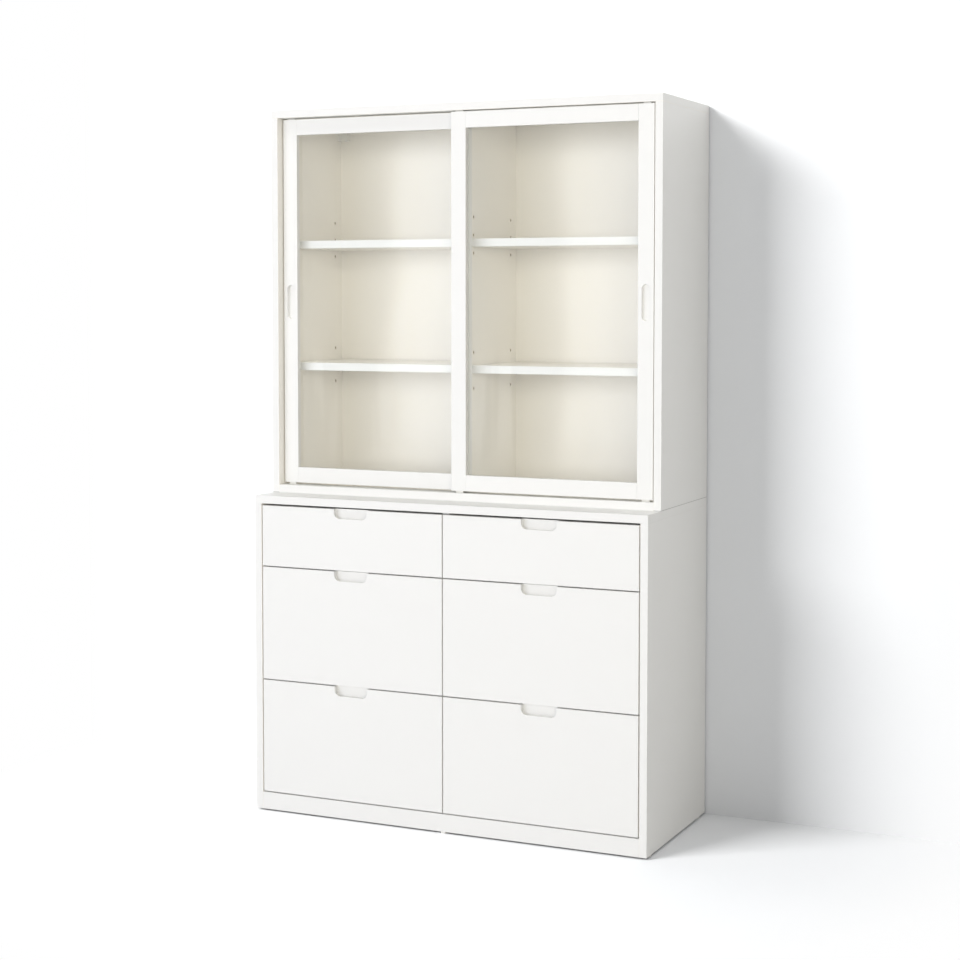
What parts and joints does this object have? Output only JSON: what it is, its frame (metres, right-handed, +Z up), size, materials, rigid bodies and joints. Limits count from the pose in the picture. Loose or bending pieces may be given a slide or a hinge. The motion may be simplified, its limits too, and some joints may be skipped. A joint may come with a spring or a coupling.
{
  "type": "cabinet with drawers",
  "caption": "Tall white two-part cabinet: shelves behind sliding glass doors above, drawers with finger recesses on telescopic runners below.",
  "frame": {"origin": "on the floor at the centre of the cabinet's outline", "axes": "+Z up, +Y towards the back, +X to the right as seen from the front"},
  "size_m": [1.064, 0.44, 1.8],
  "materials": {
    "white_board": "satin white coating",
    "inside_board": "matt cream coating",
    "drawer_board": "matt pale coating",
    "clear_glass": "clear, polished",
    "runner_steel": "zinc plated",
    "glide_plastic": "white, matt",
    "track_plastic": "white, matt"
  },
  "bodies": {
    "cabinet": {"upper_left_side": "white_board", "upper_right_side": "white_board", "upper_top": "white_board", "upper_bottom": "white_board", "upper_divider": "inside_board", "upper_back": "inside_board", "left_high_shelf": "white_board", "left_low_shelf": "white_board", "right_high_shelf": "white_board", "right_low_shelf": "white_board", "shelf_pins": "runner_steel", "door_tracks": "track_plastic", "corner_blocks": "glide_plastic", "lower_left_side": "white_board", "lower_right_side": "white_board", "lower_top": "white_board", "lower_bottom": "inside_board", "lower_divider": "inside_board", "lower_back": "inside_board", "plinth": "white_board", "floor_glides": "glide_plastic", "cabinet_runners": "runner_steel"},
    "left_door": {"left_door_stiles": "white_board", "left_door_rails": "white_board", "left_door_glass": "clear_glass", "left_door_glides": "glide_plastic"},
    "right_door": {"right_door_stiles": "white_board", "right_door_rails": "white_board", "right_door_glass": "clear_glass", "right_door_glides": "glide_plastic"},
    "left_bottom_drawer": {"left_bottom_drawer_front": "white_board", "left_bottom_drawer_walls": "drawer_board", "left_bottom_drawer_base": "drawer_board", "left_bottom_drawer_runners": "runner_steel"},
    "left_bottom_middle_runner": {"left_bottom_drawer_middle_runners": "runner_steel"},
    "left_middle_drawer": {"left_middle_drawer_front": "white_board", "left_middle_drawer_walls": "drawer_board", "left_middle_drawer_base": "drawer_board", "left_middle_drawer_runners": "runner_steel"},
    "left_middle_middle_runner": {"left_middle_drawer_middle_runners": "runner_steel"},
    "left_top_drawer": {"left_top_drawer_front": "white_board", "left_top_drawer_walls": "drawer_board", "left_top_drawer_base": "drawer_board", "left_top_drawer_runners": "runner_steel"},
    "left_top_middle_runner": {"left_top_drawer_middle_runners": "runner_steel"},
    "right_bottom_drawer": {"right_bottom_drawer_front": "white_board", "right_bottom_drawer_walls": "drawer_board", "right_bottom_drawer_base": "drawer_board", "right_bottom_drawer_runners": "runner_steel"},
    "right_bottom_middle_runner": {"right_bottom_drawer_middle_runners": "runner_steel"},
    "right_middle_drawer": {"right_middle_drawer_front": "white_board", "right_middle_drawer_walls": "drawer_board", "right_middle_drawer_base": "drawer_board", "right_middle_drawer_runners": "runner_steel"},
    "right_middle_middle_runner": {"right_middle_drawer_middle_runners": "runner_steel"},
    "right_top_drawer": {"right_top_drawer_front": "white_board", "right_top_drawer_walls": "drawer_board", "right_top_drawer_base": "drawer_board", "right_top_drawer_runners": "runner_steel"},
    "right_top_middle_runner": {"right_top_drawer_middle_runners": "runner_steel"}
  },
  "joints": [
    {"name": "left_door_slide", "type": "slide", "parent": "cabinet", "child": "left_door", "axis": [1, 0, 0], "range_m": [0, 0.49]},
    {"name": "right_door_slide", "type": "slide", "parent": "cabinet", "child": "right_door", "axis": [1, 0, 0], "range_m": [-0.49, 0]},
    {"name": "left_bottom_drawer_slide", "type": "slide", "parent": "cabinet", "child": "left_bottom_drawer", "axis": [0, -1, 0], "range_m": [0, 0.38]},
    {"name": "left_bottom_middle_runner_slide", "type": "slide", "parent": "cabinet", "child": "left_bottom_middle_runner", "axis": [0, -1, 0], "range_m": [0, 0.19]},
    {"name": "left_middle_drawer_slide", "type": "slide", "parent": "cabinet", "child": "left_middle_drawer", "axis": [0, -1, 0], "range_m": [0, 0.38]},
    {"name": "left_middle_middle_runner_slide", "type": "slide", "parent": "cabinet", "child": "left_middle_middle_runner", "axis": [0, -1, 0], "range_m": [0, 0.19]},
    {"name": "left_top_drawer_slide", "type": "slide", "parent": "cabinet", "child": "left_top_drawer", "axis": [0, -1, 0], "range_m": [0, 0.38]},
    {"name": "left_top_middle_runner_slide", "type": "slide", "parent": "cabinet", "child": "left_top_middle_runner", "axis": [0, -1, 0], "range_m": [0, 0.19]},
    {"name": "right_bottom_drawer_slide", "type": "slide", "parent": "cabinet", "child": "right_bottom_drawer", "axis": [0, -1, 0], "range_m": [0, 0.38]},
    {"name": "right_bottom_middle_runner_slide", "type": "slide", "parent": "cabinet", "child": "right_bottom_middle_runner", "axis": [0, -1, 0], "range_m": [0, 0.19]},
    {"name": "right_middle_drawer_slide", "type": "slide", "parent": "cabinet", "child": "right_middle_drawer", "axis": [0, -1, 0], "range_m": [0, 0.38]},
    {"name": "right_middle_middle_runner_slide", "type": "slide", "parent": "cabinet", "child": "right_middle_middle_runner", "axis": [0, -1, 0], "range_m": [0, 0.19]},
    {"name": "right_top_drawer_slide", "type": "slide", "parent": "cabinet", "child": "right_top_drawer", "axis": [0, -1, 0], "range_m": [0, 0.38]},
    {"name": "right_top_middle_runner_slide", "type": "slide", "parent": "cabinet", "child": "right_top_middle_runner", "axis": [0, -1, 0], "range_m": [0, 0.19]}
  ],
  "couplings": [
    {"joint": "left_bottom_middle_runner_slide", "follows": "left_bottom_drawer_slide", "ratio": 0.5},
    {"joint": "left_middle_middle_runner_slide", "follows": "left_middle_drawer_slide", "ratio": 0.5},
    {"joint": "left_top_middle_runner_slide", "follows": "left_top_drawer_slide", "ratio": 0.5},
    {"joint": "right_bottom_middle_runner_slide", "follows": "right_bottom_drawer_slide", "ratio": 0.5},
    {"joint": "right_middle_middle_runner_slide", "follows": "right_middle_drawer_slide", "ratio": 0.5},
    {"joint": "right_top_middle_runner_slide", "follows": "right_top_drawer_slide", "ratio": 0.5}
  ]
}
